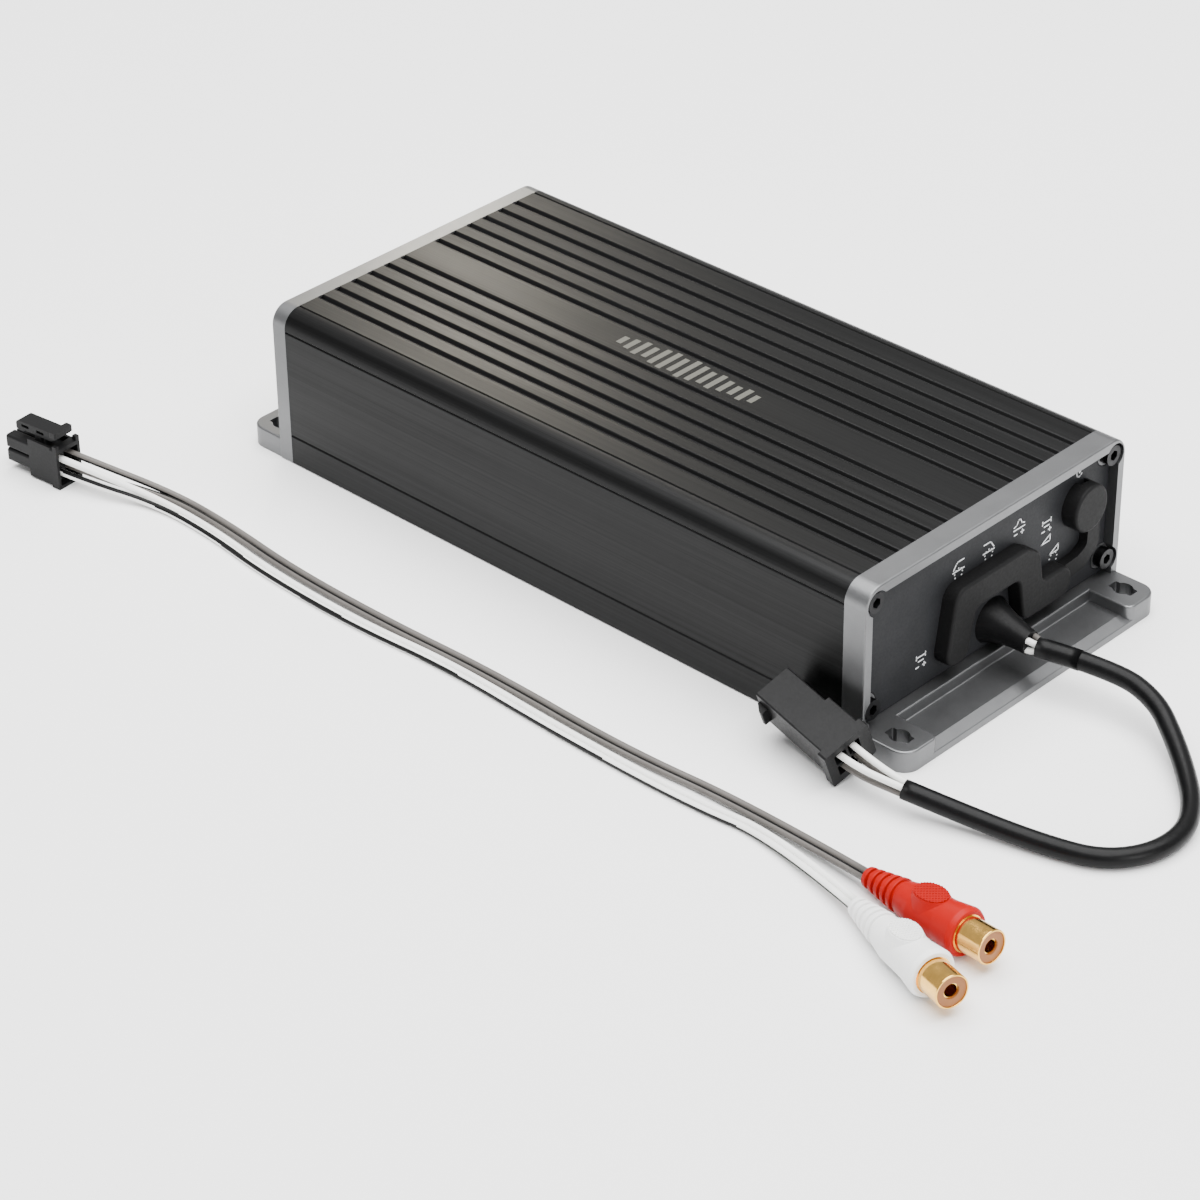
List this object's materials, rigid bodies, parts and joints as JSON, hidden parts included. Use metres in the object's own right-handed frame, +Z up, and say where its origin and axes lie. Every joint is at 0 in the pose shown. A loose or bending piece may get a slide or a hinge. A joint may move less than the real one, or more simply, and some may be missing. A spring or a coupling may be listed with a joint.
{
  "type": "car amplifier",
  "caption": "Compact in-vehicle amplifier: finned aluminium body, cast end caps with slotted feet, rubber-covered control panel, captive input pigtail and a loose phono adapter lead.",
  "frame": {"origin": "middle of the body's base, on the surface it stands on", "axes": "+X along the body towards the control end, +Y away from the side that faces the viewer, +Z up"},
  "size_m": [0.3365, 0.1659, 0.0462],
  "materials": {
    "anodised_aluminium": "brushed anodised",
    "cast_cap": "satin",
    "black_rubber": "matte",
    "panel_plastic": "matte",
    "screw_steel": "black oxide",
    "shaft_plastic": "matte",
    "housing_plastic": "matte",
    "slider_plastic": "satin",
    "switch_metal": "satin",
    "black_plastic": "satin",
    "nickel": "satin",
    "board_green": "satin",
    "pad_grey": "matte",
    "ferrite": "matte",
    "copper": "gloss",
    "capacitor_sleeve": "gloss",
    "white_plastic": "satin",
    "wire_grey": "satin",
    "wire_white": "satin",
    "red_moulding": "satin",
    "white_moulding": "satin",
    "gold": "polished",
    "tan_plastic": "satin"
  },
  "bodies": {
    "amplifier": {"heatsink_extrusion": "anodised_aluminium", "control_end_cap": "cast_cap", "wire_end_cap": "cast_cap", "control_gasket": "black_rubber", "wire_gasket": "black_rubber", "control_panel": "panel_plastic", "wire_panel": "panel_plastic", "control_cap_screws": "screw_steel", "wire_cap_screws": "screw_steel", "pot_housings": "housing_plastic", "switch_housings": "switch_metal", "remote_jack": "black_plastic", "remote_jack_nut": "nickel", "main_board": "board_green", "control_board": "board_green", "board_link": "black_plastic", "power_transistors": "black_plastic", "thermal_pads": "pad_grey", "clamp_bars": "switch_metal", "clamp_screws": "screw_steel", "toroid_core": "ferrite", "toroid_winding": "copper", "output_chokes": "copper", "filter_capacitors": "capacitor_sleeve", "power_socket": "black_plastic", "power_blades": "nickel", "power_terminal_block": "black_plastic", "cable_boot": "black_rubber", "input_header": "white_plastic", "input_leads": "wire_grey", "boot_wires_white": "wire_white", "boot_wires_grey": "wire_grey", "pigtail_sheath": "black_rubber", "pigtail_sleeve": "black_rubber", "pigtail_connector": "black_plastic", "pigtail_contacts": "nickel", "fan_wires_white": "wire_white", "fan_wires_grey": "wire_grey", "adapter_plug": "black_plastic", "adapter_contacts": "nickel", "grey_lead": "wire_grey", "grey_black_lead": "wire_grey", "white_lead": "wire_white", "white_black_lead": "wire_white", "red_jack_grip": "red_moulding", "red_jack_shell": "gold", "red_jack_insulator": "tan_plastic", "red_jack_contact": "gold", "white_jack_grip": "white_moulding", "white_jack_shell": "gold", "white_jack_insulator": "tan_plastic", "white_jack_contact": "gold"},
    "hi_pass": {"hi_pass_shaft": "shaft_plastic"},
    "lo_pass": {"lo_pass_shaft": "shaft_plastic"},
    "bass_boost": {"bass_boost_shaft": "shaft_plastic"},
    "gain": {"gain_shaft": "shaft_plastic"},
    "dc_offset": {"dc_offset_slider": "slider_plastic"},
    "input_level": {"input_level_slider": "slider_plastic"},
    "cover": {"control_cover": "black_rubber"},
    "latch": {"adapter_latch": "black_plastic"}
  },
  "joints": [
    {"name": "hi_pass_turn", "type": "hinge", "parent": "amplifier", "child": "hi_pass", "pos_m": [0.095, -0.0122, 0.0274], "axis": [1, 0, 0], "range_deg": [-140, 140]},
    {"name": "lo_pass_turn", "type": "hinge", "parent": "amplifier", "child": "lo_pass", "pos_m": [0.095, -0.0012, 0.0274], "axis": [1, 0, 0], "range_deg": [-140, 140]},
    {"name": "bass_boost_turn", "type": "hinge", "parent": "amplifier", "child": "bass_boost", "pos_m": [0.095, 0.0098, 0.0266], "axis": [1, 0, 0], "range_deg": [-140, 140]},
    {"name": "gain_turn", "type": "hinge", "parent": "amplifier", "child": "gain", "pos_m": [0.095, 0.0224, 0.0147], "axis": [1, 0, 0], "range_deg": [-140, 140]},
    {"name": "dc_offset_slide", "type": "slide", "parent": "amplifier", "child": "dc_offset", "axis": [0, 0, 1], "range_m": [0, 0.0025]},
    {"name": "input_level_slide", "type": "slide", "parent": "amplifier", "child": "input_level", "axis": [0, 0, 1], "range_m": [0, 0.0025]},
    {"name": "cover_pull", "type": "slide", "parent": "amplifier", "child": "cover", "axis": [1, 0, 0], "range_m": [0, 0.012]},
    {"name": "latch_press", "type": "hinge", "parent": "amplifier", "child": "latch", "pos_m": [-0.14336, -0.09822, 0.0131], "axis": [-0.0941, 0.9956, 0], "range_deg": [0, 8], "stiffness_Nm_per_rad": 0.05}
  ]
}
